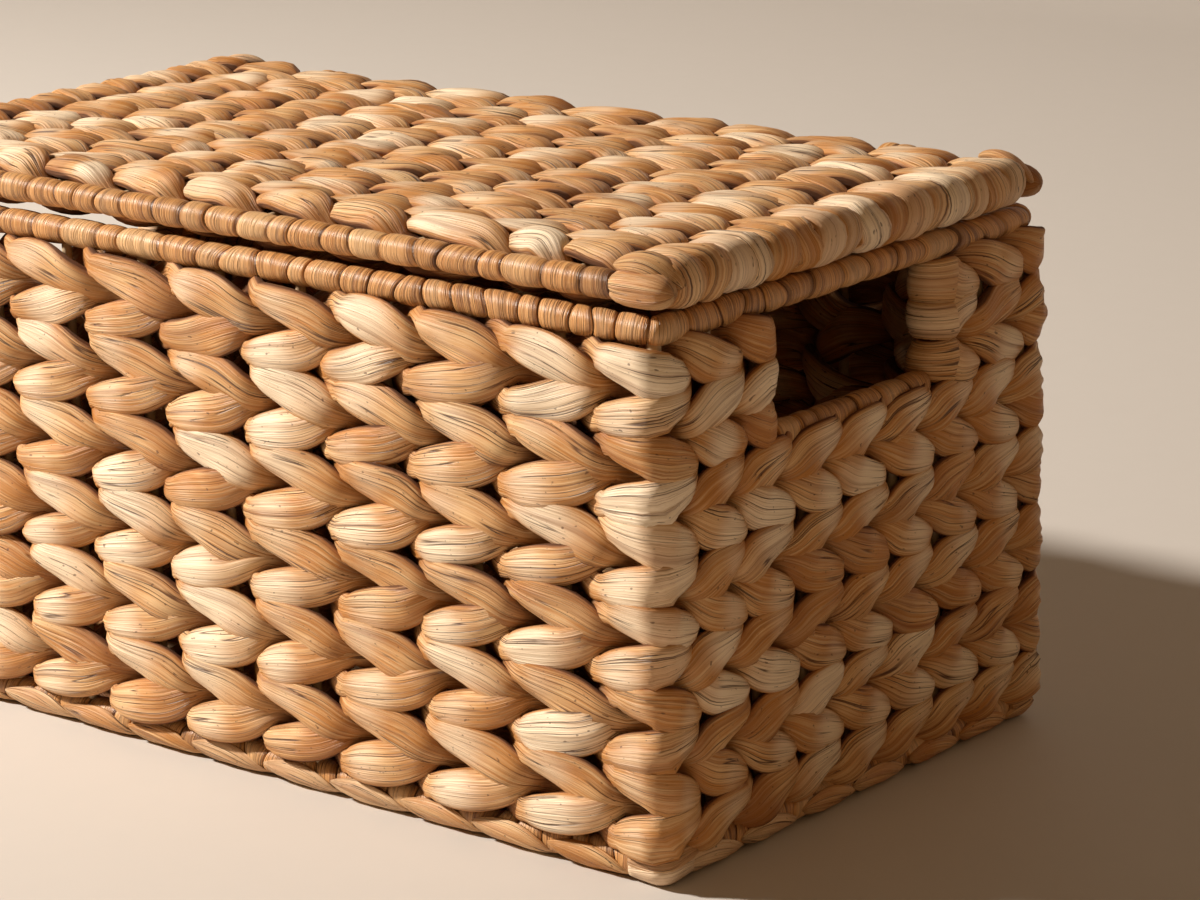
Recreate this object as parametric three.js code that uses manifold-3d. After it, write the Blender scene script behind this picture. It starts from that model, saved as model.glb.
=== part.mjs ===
// A storage box with a hinged lid, twined from dried water hyacinth over a frame of welded rods.
// Millimetres, +Z up. The origin lies under the middle of the box, on the surface it stands on.
// X runs along the length, -Y is the front, and the lid turns in two loops on the +Y side.
import * as THREE from 'three';
import { mergeVertices } from 'three/addons/utils/BufferGeometryUtils.js';
import Module from 'manifold-3d';

const wasm = await Module();
wasm.setup();

// Frame of the box, between the centres of its rods
const frameLength = 404;
const frameWidth = 219;
const rimRodZ = 196.5;
const rodAcross = 4;
const postAcross = 5;
const weldSink = 0.4;
const frontBayCount = 10;
const endBayCount = 8;
const floorRodCount = 5;

// Wrapped bars: hyacinth strip wound round a rod
const barDiameter = 11;
const borderDiameter = 12.5;

// Twined walls: each course is two rows twined opposite ways round the stakes
const courseCount = 6;
const wallCrownHalf = 8.25;
const wallWaistHalf = 6.2;
const wallPairWaistHalf = 7;
const wallCornerRadius = 2.5;
const cornerFillet = 1;

// Twined floor
const floorCourseCount = 8;
const floorCrownHalf = 8;
const floorWaistHalf = 6;
const floorPairWaistHalf = 6.8;

// Handle openings in the two ends: under each, the handle bar takes the place of a row of weave
const handleCourseCount = 1;
const handleBarShare = 0.5;
const handleBaysEachSideCount = 2;

// Lid
const lidBayCount = 11;
const lidCourseCount = 8;
const lidCrownHalf = 9.5;
const lidWaistHalf = 6.6;
const lidPairWaistHalf = 7.8;
const lidBarDrop = 1.2;
const knotLength = 24;
const knotDiameter = 13.5;

// Hinge loops of twisted strand
const loopWidth = 14;
const loopBayShare = 1.5;
const loopThickness = 2;

// Clearances: between pieces that touch, round the turning bar, and round a moving loop
const gap = 0.3;
const hingeClearance = 0.3;
const sweepClearance = 0.5;
const cutOverrun = 5;

// Facets
const ringSides = 4;
const stakeSides = 4;
const barSides = 8;
const cornerSteps = 2;
const roundSteps = 12;
const arcSteps = 3;
const loopSteps = 5;

// Places that follow from the sizes
const baseRodZ = borderDiameter / 2;
const floorRodZ = baseRodZ + rodAcross - weldSink;
const rimTopZ = rimRodZ + barDiameter / 2;
const wallBottomZ = borderDiameter + gap;
const wallTopZ = rimRodZ - barDiameter / 2 - gap;
const lidRodZ = rimTopZ + gap + lidCrownHalf;
const lidBarZ = lidRodZ - lidBarDrop;
const halfLength = frameLength / 2;
const halfWidth = frameWidth / 2;
const frontStakeStep = frameLength / frontBayCount;
const endStakeStep = frameWidth / endBayCount;
const lidStakeStep = frameLength / lidBayCount;
const handleHalf = handleBaysEachSideCount * endStakeStep;
const courseStep = (wallTopZ - wallBottomZ + gap) / courseCount;
const handleBarZ = wallTopZ - (handleCourseCount + handleBarShare) * courseStep;
const handleCutZ = handleBarZ - barDiameter / 2 - gap;
const loopInnerRadius = barDiameter / 2 / Math.cos(Math.PI / barSides) + hingeClearance;
const loopOuterRadius = loopInnerRadius + loopThickness;
const loopX = halfLength - loopBayShare * lidStakeStep;
const slotHalf = rodAcross / 2 + 2 * gap;

// Finishes
const straw = { color: 0xb98a55, roughness: 0.62, metalness: 0 };
const strip = { color: 0xb07a40, roughness: 0.45, metalness: 0 };
const coatedRod = { color: 0xc9a877, roughness: 0.5, metalness: 0 };

// Turns a closed geometry into a solid that can be joined and cut
function solidOf(geometry) {
  const bare = geometry.clone();
  bare.deleteAttribute('normal');
  bare.deleteAttribute('uv');
  const merged = mergeVertices(bare);
  const corners = merged.index.array;
  const kept = [];
  for (let i = 0; i < corners.length; i += 3) {
    const [a, b, c] = [corners[i], corners[i + 1], corners[i + 2]];
    if (a !== b && b !== c && c !== a) kept.push(a, b, c);
  }
  return new wasm.Manifold(new wasm.Mesh({
    numProp: 3,
    vertProperties: Float32Array.from(merged.attributes.position.array),
    triVerts: Uint32Array.from(kept),
  }));
}

function geometryOf(solid) {
  const mesh = solid.getMesh();
  const geometry = new THREE.BufferGeometry();
  geometry.setAttribute('position', new THREE.BufferAttribute(Float32Array.from(mesh.vertProperties), 3));
  geometry.setIndex(new THREE.BufferAttribute(Uint32Array.from(mesh.triVerts), 1));
  geometry.computeVertexNormals();
  return geometry;
}

const joined = (solids) => solids.reduce((whole, piece) => whole.add(piece));

// A box between two opposite corners
function block(low, high) {
  const size = high.map((value, i) => value - low[i]);
  const geometry = new THREE.BoxGeometry(...size);
  geometry.translate(...high.map((value, i) => (value + low[i]) / 2));
  return solidOf(geometry);
}

// A straight bar with flat sides between two points; grow thickens and lengthens it for a cut
function rod(start, end, across, sides, grow = 0) {
  const from = new THREE.Vector3(...start);
  const to = new THREE.Vector3(...end);
  const radius = (across / 2 + grow) / Math.cos(Math.PI / sides);
  const length = from.distanceTo(to) + 2 * grow;
  const geometry = new THREE.CylinderGeometry(radius, radius, length, sides, 1, false, Math.PI / sides);
  const along = to.clone().sub(from).normalize();
  geometry.applyQuaternion(new THREE.Quaternion().setFromUnitVectors(new THREE.Vector3(0, 1, 0), along));
  geometry.translate(...from.add(to).multiplyScalar(0.5).toArray());
  return solidOf(geometry);
}

// Places of the stakes between two corner posts, posts left out
function stakePlaces(span, bayCount) {
  const places = [];
  for (let i = 1; i < bayCount; i += 1) places.push(-span / 2 + (i * span) / bayCount);
  return places;
}

// Body frame: base ring, rim ring, corner posts, stakes, handle bars and floor rods, welded as one
function bodyFrame(grow = 0) {
  const rods = [];
  for (const z of [baseRodZ, rimRodZ]) {
    for (const side of [-1, 1]) {
      const y = side * halfWidth;
      const x = side * halfLength;
      rods.push(rod([-halfLength, y, z], [halfLength, y, z], rodAcross, ringSides, grow));
      rods.push(rod([x, -halfWidth, z], [x, halfWidth, z], rodAcross, ringSides, grow));
    }
  }
  for (const sx of [-1, 1]) {
    const x = sx * halfLength;
    for (const sy of [-1, 1]) {
      const y = sy * halfWidth;
      const foot = baseRodZ - rodAcross / 2;
      rods.push(rod([x, y, foot], [x, y, rimRodZ + rodAcross / 2], postAcross, barSides, grow));
    }
    rods.push(rod([x, -handleHalf, handleBarZ], [x, handleHalf, handleBarZ], rodAcross, ringSides, grow));
    for (const y of stakePlaces(frameWidth, endBayCount)) {
      const underHandle = Math.abs(y) < handleHalf - endStakeStep / 2;
      const top = underHandle ? handleBarZ : rimRodZ;
      rods.push(rod([x, y, baseRodZ], [x, y, top], rodAcross, stakeSides, grow));
    }
  }
  for (const x of stakePlaces(frameLength, frontBayCount)) {
    for (const y of [-halfWidth, halfWidth]) {
      rods.push(rod([x, y, baseRodZ], [x, y, rimRodZ], rodAcross, stakeSides, grow));
    }
  }
  for (const x of stakePlaces(frameLength, floorRodCount + 1)) {
    rods.push(rod([x, -halfWidth, floorRodZ], [x, halfWidth, floorRodZ], rodAcross, stakeSides, grow));
  }
  return joined(rods);
}

// Lid frame: two long bars, two end rods and the stakes between the bars, welded as one
function lidFrame(grow = 0) {
  const rods = [];
  for (const y of [-halfWidth, halfWidth]) {
    rods.push(rod([-halfLength, y, lidBarZ], [halfLength, y, lidBarZ], rodAcross, ringSides, grow));
  }
  for (const x of [-halfLength, halfLength, ...stakePlaces(frameLength, lidBayCount)]) {
    rods.push(rod([x, -halfWidth, lidRodZ], [x, halfWidth, lidRodZ], rodAcross, stakeSides, grow));
  }
  return joined(rods);
}

// One side of a course's section, up its two rows: [distance from the middle, share of the height]
const rowHeightShares = [0, 0.25, 0.5, 0.75, 1];
function courseSide(waist, crown, pairWaist) {
  const distances = [waist, crown, pairWaist, crown, waist];
  return distances.map((distance, i) => [distance, rowHeightShares[i]]);
}

// A closed band that follows the line of the walls. Each point of the profile, given as
// [distance outside the wall line, height], becomes a rounded rectangle, joined to the next.
function wallBand(profile) {
  const perLoop = 4 * (cornerSteps + 1);
  const positions = [];
  for (const [offset, z] of profile) {
    const radius = Math.max(wallCornerRadius + offset, cornerFillet);
    const centreX = halfLength + offset - radius;
    const centreY = halfWidth + offset - radius;
    for (let corner = 0; corner < 4; corner += 1) {
      const signX = corner === 0 || corner === 3 ? 1 : -1;
      const signY = corner < 2 ? 1 : -1;
      for (let step = 0; step <= cornerSteps; step += 1) {
        const angle = (Math.PI / 2) * (corner + step / cornerSteps);
        const x = signX * centreX + radius * Math.cos(angle);
        const y = signY * centreY + radius * Math.sin(angle);
        positions.push(x, y, z);
      }
    }
  }
  const index = [];
  for (let i = 0; i < profile.length; i += 1) {
    const below = i * perLoop;
    const above = ((i + 1) % profile.length) * perLoop;
    for (let j = 0; j < perLoop; j += 1) {
      const next = (j + 1) % perLoop;
      index.push(below + j, below + next, above + j, below + next, above + next, above + j);
    }
  }
  const geometry = new THREE.BufferGeometry();
  geometry.setAttribute('position', new THREE.Float32BufferAttribute(positions, 3));
  geometry.setIndex(index);
  return solidOf(geometry);
}

// Strip wound round a ring rod, with a slot that the stakes stand in; slotUp is 1 where they rise
// out of it and -1 where they come up into it
function ringWrap(diameter, centreZ, slotUp) {
  const radius = diameter / 2 / Math.cos(Math.PI / barSides);
  const around = [];
  for (let i = 0; i < barSides; i += 1) {
    const angle = (Math.PI / barSides) * (2 * i + 1);
    around.push([radius * Math.cos(angle), centreZ + radius * Math.sin(angle)]);
  }
  const ends = [centreZ - slotUp * slotHalf, centreZ + slotUp * (radius + cutOverrun)];
  const low = Math.min(...ends);
  const high = Math.max(...ends);
  const slot = [[slotHalf, low], [slotHalf, high], [-slotHalf, high], [-slotHalf, low]];
  return wallBand(around).subtract(wallBand(slot));
}

// The rounded edge of a wall beside a handle opening, where the strands turn round a stake
function jambTurn(x, y, low, high) {
  const side = courseSide(wallWaistHalf, wallCrownHalf, wallPairWaistHalf);
  const points = [[0, 0], ...side, [0, 1]].map(([distance, heightShare]) =>
    new THREE.Vector2(distance, low + heightShare * (high - low)));
  const geometry = new THREE.LatheGeometry(points, roundSteps);
  geometry.rotateX(Math.PI / 2);
  geometry.translate(x, y, 0);
  return solidOf(geometry);
}

// A straight course of two rows over and under a row of stakes, its ends rounded where the
// strands turn back
function flatCourse(section, lowY, highY, centreZ, halfSpan, endRadius) {
  const span = highY - lowY;
  const edge = (sign) => section.map(([height, widthShare]) =>
    new THREE.Vector2(lowY + widthShare * span, centreZ + sign * height));
  const outline = new THREE.Shape([...edge(-1), ...edge(1).reverse()]);
  const reach = halfSpan + endRadius;
  const length = 2 * (reach + cutOverrun);
  const bar = new THREE.ExtrudeGeometry(outline, { depth: length, bevelEnabled: false });
  bar.applyMatrix4(new THREE.Matrix4().makeBasis(
    new THREE.Vector3(0, 1, 0), new THREE.Vector3(0, 0, 1), new THREE.Vector3(1, 0, 0)));
  bar.translate(-length / 2, 0, 0);
  const side = new THREE.Shape();
  side.absarc(halfSpan, 0, endRadius, -Math.PI / 2, Math.PI / 2, false);
  side.absarc(-halfSpan, 0, endRadius, Math.PI / 2, (3 * Math.PI) / 2, false);
  const depth = span + 2 * cutOverrun;
  const rounding = new THREE.ExtrudeGeometry(side, { depth, bevelEnabled: false, curveSegments: arcSteps });
  rounding.rotateX(Math.PI / 2);
  rounding.translate(0, lowY + span + cutOverrun, centreZ);
  const slotReach = halfSpan + slotHalf;
  const slot = block([-slotReach, lowY - cutOverrun, centreZ - slotHalf],
    [slotReach, highY + cutOverrun, centreZ + slotHalf]);
  return solidOf(bar).intersect(solidOf(rounding)).subtract(slot);
}

// Room for the stakes of the four walls between the outer and the inner strands of a course;
// the strands close up round each corner post
function stakeSlots(low, high) {
  const reachX = halfLength - frontStakeStep / 2;
  const reachY = halfWidth - endStakeStep / 2;
  const slots = [];
  for (const side of [-1, 1]) {
    const x = side * halfLength;
    const y = side * halfWidth;
    slots.push(block([-reachX, y - slotHalf, low - cutOverrun], [reachX, y + slotHalf, high + cutOverrun]));
    slots.push(block([x - slotHalf, -reachY, low - cutOverrun], [x + slotHalf, reachY, high + cutOverrun]));
  }
  return joined(slots);
}

// A loop of strand round the lid's rear bar and the rear rim: a ring with two straight sides
function hingeLoop(x, grow = 0) {
  const outline = new THREE.Shape();
  outline.absarc(0, lidBarZ, loopOuterRadius + grow, 0, Math.PI, false);
  outline.absarc(0, rimRodZ, loopOuterRadius + grow, Math.PI, 2 * Math.PI, false);
  if (grow === 0) {
    const inside = new THREE.Path();
    inside.absarc(0, lidBarZ, loopInnerRadius, 0, Math.PI, false);
    inside.absarc(0, rimRodZ, loopInnerRadius, Math.PI, 2 * Math.PI, false);
    outline.holes.push(inside);
  }
  const depth = loopWidth + 2 * grow;
  const settings = { depth, bevelEnabled: false, curveSegments: loopSteps };
  const geometry = new THREE.ExtrudeGeometry(outline, settings);
  geometry.applyMatrix4(new THREE.Matrix4().makeBasis(
    new THREE.Vector3(0, 1, 0), new THREE.Vector3(0, 0, 1), new THREE.Vector3(1, 0, 0)));
  geometry.translate(x - depth / 2, halfWidth, 0);
  return solidOf(geometry);
}

// A strand wound round a corner of the lid: a barrel on the bar's line, flat towards the weave
function cornerKnot(sx, sy) {
  const radius = knotDiameter / 2;
  const points = [];
  for (let i = 0; i <= roundSteps / 2; i += 1) {
    const turn = (Math.PI * i) / (roundSteps / 2);
    const atEnd = i % (roundSteps / 2) === 0;
    const reach = atEnd ? 0 : radius * Math.sqrt(Math.sin(turn));
    points.push(new THREE.Vector2(reach, (-Math.cos(turn) * knotLength) / 2));
  }
  const geometry = new THREE.LatheGeometry(points, roundSteps);
  geometry.rotateZ(-Math.PI / 2);
  geometry.translate(sx * (halfLength + lidCrownHalf - knotLength / 2), sy * halfWidth, lidBarZ);
  const flat = halfWidth - barDiameter / 2 - gap;
  const reach = halfLength + knotLength;
  const inner = block([-reach, -flat, lidBarZ - knotDiameter], [reach, flat, lidBarZ + knotDiameter]);
  return solidOf(geometry).subtract(inner);
}

const box = new THREE.Group();

function place(name, solid, finish) {
  const mesh = new THREE.Mesh(geometryOf(solid), new THREE.MeshStandardMaterial(finish));
  mesh.name = name;
  box.add(mesh);
}

// Rods
const bodyRods = bodyFrame();
const lidRods = lidFrame();
const bodyBores = bodyFrame(gap);
const lidBores = lidFrame(gap);
place('body_frame', bodyRods, coatedRod);

// Floor, twined along the length round the floor rods
const floorHalfY = halfWidth - wallCrownHalf - gap;
const floorStep = (2 * floorHalfY + gap) / floorCourseCount;
for (let i = 0; i < floorCourseCount; i += 1) {
  const lowY = -floorHalfY + i * floorStep;
  const section = courseSide(floorWaistHalf, floorCrownHalf, floorPairWaistHalf);
  const halfSpan = halfLength - wallCrownHalf - gap - floorCrownHalf;
  const course = flatCourse(section, lowY, lowY + floorStep - gap, floorRodZ, halfSpan, floorCrownHalf);
  place(`floor_course_${i + 1}`, course.subtract(bodyBores), straw);
}

// Border wound round the base ring; the box stands on its flat underside
place('base_border_wrap', ringWrap(borderDiameter, baseRodZ, 1).subtract(bodyBores), strip);

// Hinge loops, and the room that they need in the weave
const loopSides = [['left', -1], ['right', 1]];
const loopRoom = joined(loopSides.map(([, side]) => hingeLoop(side * loopX, gap)));

// Wall courses from the rim down, opened for the handles
const halves = [['front', -1], ['back', 1]];
for (let i = 0; i < courseCount; i += 1) {
  const high = wallTopZ - i * courseStep;
  const low = high - courseStep + gap;
  const outer = courseSide(wallWaistHalf, wallCrownHalf, wallPairWaistHalf);
  const points = outer.map(([offset, heightShare]) => [offset, low + heightShare * (high - low)]);
  const mirrored = points.map(([offset, z]) => [-offset, z]).reverse();
  let course = wallBand([...points, ...mirrored]).subtract(stakeSlots(low, high));
  const reach = halfLength + wallCrownHalf + cutOverrun;
  if (high > handleCutZ) {
    const bottom = Math.max(low - cutOverrun, handleCutZ);
    const top = high + cutOverrun;
    course = course.subtract(block([-reach, -handleHalf, bottom], [reach, handleHalf, top]));
    for (const sx of [-1, 1]) {
      for (const sy of [-1, 1]) {
        const turn = jambTurn(sx * halfLength, sy * handleHalf, low, high);
        const above = block([-reach, -halfWidth, bottom], [reach, halfWidth, top]);
        course = course.add(turn.intersect(above));
      }
    }
  }
  course = course.subtract(bodyBores).subtract(loopRoom);
  if (low >= handleCutZ) {
    for (const [name, side] of halves) {
      const far = side * (halfWidth + wallCrownHalf + cutOverrun);
      const corner = [-reach, Math.min(0, far), low - cutOverrun];
      const half = block(corner, [reach, Math.max(0, far), high + cutOverrun]);
      place(`wall_course_${i + 1}_${name}`, course.intersect(half), straw);
    }
  } else {
    place(`wall_course_${i + 1}`, course, straw);
  }
}

// Rim and handle bars, wound with strip
place('rim_wrap', ringWrap(barDiameter, rimRodZ, -1).subtract(bodyBores), strip);
const handleWrapHalf = handleHalf - wallCrownHalf - gap;
for (const [name, side] of loopSides) {
  const x = side * halfLength;
  const wrap = rod([x, -handleWrapHalf, handleBarZ], [x, handleWrapHalf, handleBarZ], barDiameter, barSides);
  place(`handle_bar_wrap_${name}`, wrap.subtract(bodyBores), strip);
}
for (const [name, side] of loopSides) place(`hinge_loop_${name}`, hingeLoop(side * loopX), straw);

// Lid: frame, courses twined along the length, wound long bars and knots at the corners
place('lid_frame', lidRods, coatedRod);
const lidHalfY = halfWidth - barDiameter / 2 - gap;
const lidStep = (2 * lidHalfY + gap) / lidCourseCount;
const hingeSweep = joined(loopSides.map(([, side]) => {
  const low = side * loopX - loopWidth / 2 - sweepClearance;
  const high = side * loopX + loopWidth / 2 + sweepClearance;
  const sweep = 2 * (loopOuterRadius + sweepClearance);
  const turning = rod([low, halfWidth, lidBarZ], [high, halfWidth, lidBarZ], sweep, 2 * barSides);
  return turning.add(block([low, halfWidth - sweep / 2, rimTopZ], [high, halfWidth, lidBarZ]));
}));
for (let i = 0; i < lidCourseCount; i += 1) {
  const lowY = -lidHalfY + i * lidStep;
  const section = courseSide(lidWaistHalf, lidCrownHalf, lidPairWaistHalf);
  const course = flatCourse(section, lowY, lowY + lidStep - gap, lidRodZ, halfLength, lidCrownHalf);
  place(`lid_course_${i + 1}`, course.subtract(lidBores).subtract(hingeSweep), straw);
}
const lidWrapHalf = halfLength + lidCrownHalf - knotLength - gap;
for (const [name, side] of [['front', -1], ['rear', 1]]) {
  const y = side * halfWidth;
  const wrap = rod([-lidWrapHalf, y, lidBarZ], [lidWrapHalf, y, lidBarZ], barDiameter, barSides);
  place(`lid_${name}_bar_wrap`, wrap.subtract(lidBores), strip);
}
for (const [front, sy] of [['front', -1], ['rear', 1]]) {
  for (const [name, sx] of loopSides) {
    place(`lid_corner_knot_${front}_${name}`, cornerKnot(sx, sy).subtract(lidBores), straw);
  }
}

export default box;
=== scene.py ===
from collections import namedtuple

import bpy
import numpy as np
from mathutils import Matrix, Vector


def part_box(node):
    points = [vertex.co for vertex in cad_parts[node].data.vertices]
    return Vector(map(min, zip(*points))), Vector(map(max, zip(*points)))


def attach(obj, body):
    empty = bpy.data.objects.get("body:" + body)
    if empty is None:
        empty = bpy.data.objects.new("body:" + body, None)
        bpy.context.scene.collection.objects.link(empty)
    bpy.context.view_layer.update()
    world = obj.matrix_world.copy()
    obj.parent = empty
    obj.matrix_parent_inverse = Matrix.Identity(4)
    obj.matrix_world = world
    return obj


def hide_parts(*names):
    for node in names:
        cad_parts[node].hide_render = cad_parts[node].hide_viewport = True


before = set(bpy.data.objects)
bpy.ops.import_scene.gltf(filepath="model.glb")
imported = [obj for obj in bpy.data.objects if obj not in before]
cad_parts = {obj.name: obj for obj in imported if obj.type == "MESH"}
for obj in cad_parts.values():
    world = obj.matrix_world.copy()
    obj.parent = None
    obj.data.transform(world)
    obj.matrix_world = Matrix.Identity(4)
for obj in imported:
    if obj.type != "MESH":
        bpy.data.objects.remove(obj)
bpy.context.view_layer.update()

mm = 0.001
seeded = np.random.default_rng

# Rods of the body
# Round rods under a tan coat: a foot ring, a rim ring, four posts, the stakes that the weave
# passes round, two handle bars and five floor rods, welded where they meet.
rim_low, rim_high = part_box("rim_wrap")
foot_low, foot_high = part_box("base_border_wrap")
bar_radius = (rim_high.z - rim_low.z) / 2
half_length = rim_high.x - bar_radius
half_width = rim_high.y - bar_radius
rim_z = (rim_low.z + rim_high.z) / 2
foot_z = (foot_low.z + foot_high.z) / 2
handle_low, handle_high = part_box("handle_bar_wrap_right")
handle_z = (handle_low.z + handle_high.z) / 2
floor_low, floor_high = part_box("floor_course_1")
floor_z = (floor_low.z + floor_high.z) / 2
front_bays = 10
end_bays = 8
handle_bays = 4
floor_rods = 5
rod_radius = 2 * mm
post_radius = 2.5 * mm
rod_sides = 12
rod_rings = 9
rod_cap_angles = (0.35, 0.75, 1.15, np.pi / 2)
rod_waver = 0.15 * mm
front_bay = 2 * half_length / front_bays
end_bay = 2 * half_width / end_bays
handle_half = handle_bays / 2 * end_bay

# The line of the walls is a rectangle through the posts. Places on it are given by the length
# along it from the front left post, and by the distance out from it.
side_lengths = np.array([2 * half_length, 2 * half_width] * 2)
side_starts = np.concatenate([[0], np.cumsum(side_lengths)[:-1]])
wall_lap = side_lengths.sum()
posts = np.array([[-1, -1], [1, -1], [1, 1], [-1, 1]]) * [half_length, half_width]
headings = np.array([[1, 0], [0, 1], [-1, 0], [0, -1]])
outwards = np.array([[0, -1], [1, 0], [0, 1], [-1, 0]])
post_reach = 3 * mm
tightest_turn = 1.2 * mm
turn_growth = 0.26

Tube = namedtuple("Tube", "points closed chart tone")


def on_wall(along, up, out):
    """Places by the walls' line. Between posts the line is straight; within post_reach of a post
    it is a quarter circle of radius g + h (c + root(c^2 + p^2)), where g is tightest_turn, h is
    turn_growth, p is post_reach and c is out + p, so a line further out turns wider."""
    along, up, out = np.broadcast_arrays(along, up, out)
    lap = along % wall_lap
    side = np.searchsorted(side_starts, lap, side="right") - 1
    run = lap - side_starts[side]
    length = side_lengths[side]
    reach = out + post_reach
    radius = tightest_turn + turn_growth * (reach + np.sqrt(reach ** 2 + post_reach ** 2))
    inset = radius - out
    share = np.clip((run - post_reach) / (length - 2 * post_reach), 0, 1)
    travel = inset + share * (length - 2 * inset)
    straight = posts[side] + headings[side] * travel[..., None] + outwards[side] * out[..., None]
    ahead = run > length / 2
    post = (side + ahead) % 4
    turn = np.clip(np.where(ahead, run - length, run) / post_reach, -1, 1)
    angle = (1 + turn[..., None]) * np.pi / 4
    before, after = outwards[post - 1], outwards[post]
    centre = posts[post] - inset[..., None] * (before + after)
    bend = centre + radius[..., None] * (np.cos(angle) * before + np.sin(angle) * after)
    flat = np.where(np.abs(turn)[..., None] < 1, bend, straight)
    return np.concatenate([flat, up[..., None]], axis=-1)


def chart_of(along, around):
    """A chart with one length for each row and one distance for each column."""
    return np.stack(np.meshgrid(along, around, indexing="ij"), axis=-1)


def round_angles(count, start=0.0):
    """Even angles once round a section, from a start."""
    return np.linspace(0, 2 * np.pi, count, endpoint=False) + start


def frames_along(centre, away, closed, lap=0.0):
    """Unit normal and side at each point of a path. The tangent is a central difference, the
    normal is the part of away that is square to it, and the side is tangent x normal. Where X
    is a length round the walls, it starts again after a lap."""
    step = np.roll(centre, -1, axis=0) - np.roll(centre, 1, axis=0)
    if lap:
        step[:, 0] = (step[:, 0] + lap / 2) % lap - lap / 2
    if not closed:
        step[0] = centre[1] - centre[0]
        step[-1] = centre[-1] - centre[-2]
    tangent = step / np.linalg.norm(step, axis=1, keepdims=True)
    normal = away - tangent * (away * tangent).sum(axis=1, keepdims=True)
    normal /= np.linalg.norm(normal, axis=1, keepdims=True)
    return normal, np.cross(tangent, normal)


def carried(centre, normal, side, lift, width):
    """A section carried along a path: centre + lift times normal + width times side."""
    return centre[:, None] + normal[:, None] * lift[..., None] + side[:, None] * width[..., None]


def new_object(name, data):
    """An object in the scene with this mesh, lamp or camera."""
    thing = bpy.data.objects.new(name, data)
    bpy.context.collection.objects.link(thing)
    return thing


def make_piece(name, tubes, material, slot, body, *nodes):
    """One object of many tubes. A tube is a grid: a row of points round each of its sections.
    Quads join the rows, and flat faces close the ends of an open tube. The UV map takes the
    tube's chart: the length along the fibres and the distance across them, with the first row
    and column again at the end. Tone is the strand's own shade, and on the woven and wound
    strands it also carries painted light and shade."""
    points, corners, sizes, maps, tones = [], [], [], [], []
    first = 0
    for tube in tubes:
        rings, around = tube.points.shape[:2]
        row, column = np.indices((rings if tube.closed else rings - 1, around))
        row = row[..., None] + np.array([0, 0, 1, 1])
        column = column[..., None] + np.array([0, 1, 1, 0])
        corners.append(first + (row % rings * around + column % around).ravel())
        sizes.append(np.full(row.size // 4, 4))
        maps.append(tube.chart[row, column].reshape(-1, 2))
        if not tube.closed:
            ring = np.arange(around)
            corners += [first + ring[::-1], first + (rings - 1) * around + ring]
            sizes.append(np.full(2, around))
            maps += [tube.chart[0, ring[::-1]], tube.chart[-1, ring]]
        points.append(tube.points.reshape(-1, 3))
        tones.append((np.zeros((rings, around)) + tube.tone).ravel())
        first += rings * around
    points, corners, sizes = np.concatenate(points), np.concatenate(corners), np.concatenate(sizes)
    mesh = bpy.data.meshes.new(name)
    mesh.vertices.add(len(points))
    mesh.vertices.foreach_set("co", points.astype(np.float32).ravel())
    mesh.loops.add(len(corners))
    mesh.loops.foreach_set("vertex_index", corners.astype(np.int32))
    mesh.polygons.add(len(sizes))
    starts = np.concatenate([[0], np.cumsum(sizes)[:-1]])
    mesh.polygons.foreach_set("loop_start", starts.astype(np.int32))
    mesh.polygons.foreach_set("use_smooth", sizes == 4)
    mesh.uv_layers.new(name="strand").data.foreach_set("uv", np.concatenate(maps).ravel())
    shade = mesh.attributes.new("tone", "FLOAT", "POINT")
    shade.data.foreach_set("value", np.concatenate(tones).astype(np.float32))
    mesh.update(calc_edges=True)
    mesh.validate()
    mesh.materials.append(material)
    piece = new_object(name, mesh)
    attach(piece, body)
    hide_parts(*nodes)


def round_rod(start, end, radius, draws):
    """A straight rod with rounded ends: circles of radius r on a line that wavers by a sine."""
    start, end = np.array(start, float), np.array(end, float)
    length = np.linalg.norm(end - start)
    cap = radius * (1 - np.cos(rod_cap_angles))
    straight = np.linspace(radius, length - radius, rod_rings)[1:-1]
    run = np.concatenate([cap, straight, length - cap[::-1]])
    edge = np.minimum(run, length - run)
    shrink = np.sqrt(np.clip(1 - (1 - np.minimum(edge / radius, 1)) ** 2, 0, 1))
    heading = (end - start) / length
    level = abs(heading[2]) < 0.5
    side = np.cross(heading, [0.0, 0.0, 1.0] if level else [1.0, 0.0, 0.0])
    side /= np.linalg.norm(side)
    lift = np.cross(side, heading)
    waver = rod_waver * np.sin(np.pi * run / length) * draws.uniform(-1, 1)
    angle = round_angles(rod_sides)
    circle = np.cos(angle)[:, None] * side - np.sin(angle)[:, None] * lift
    centre = start + run[:, None] * heading + waver[:, None] * side
    points = centre[:, None, :] + (radius * shrink)[:, None, None] * circle
    around = radius * np.linspace(0, 2 * np.pi, rod_sides + 1)
    return Tube(points, False, chart_of(run, around), draws.uniform(-1, 1))


def ring_rod(height, draws):
    """A rod bent into a ring along the walls' line: a circle of radius r carried round it."""
    bend = np.linspace(0, post_reach, 5)[:-1]
    parts = []
    for start, length in zip(side_starts, side_lengths):
        straight = np.linspace(post_reach, length - post_reach, rod_rings)
        parts += [start + bend, start + straight, start + (length - bend[:0:-1])]
    along = np.concatenate(parts)
    angle = round_angles(rod_sides)
    out, up = rod_radius * np.cos(angle), height - rod_radius * np.sin(angle)
    points = on_wall(along[:, None], up, out)
    around = rod_radius * np.linspace(0, 2 * np.pi, rod_sides + 1)
    return Tube(points, True, chart_of(np.append(along, wall_lap), around), draws.uniform(-1, 1))


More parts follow.
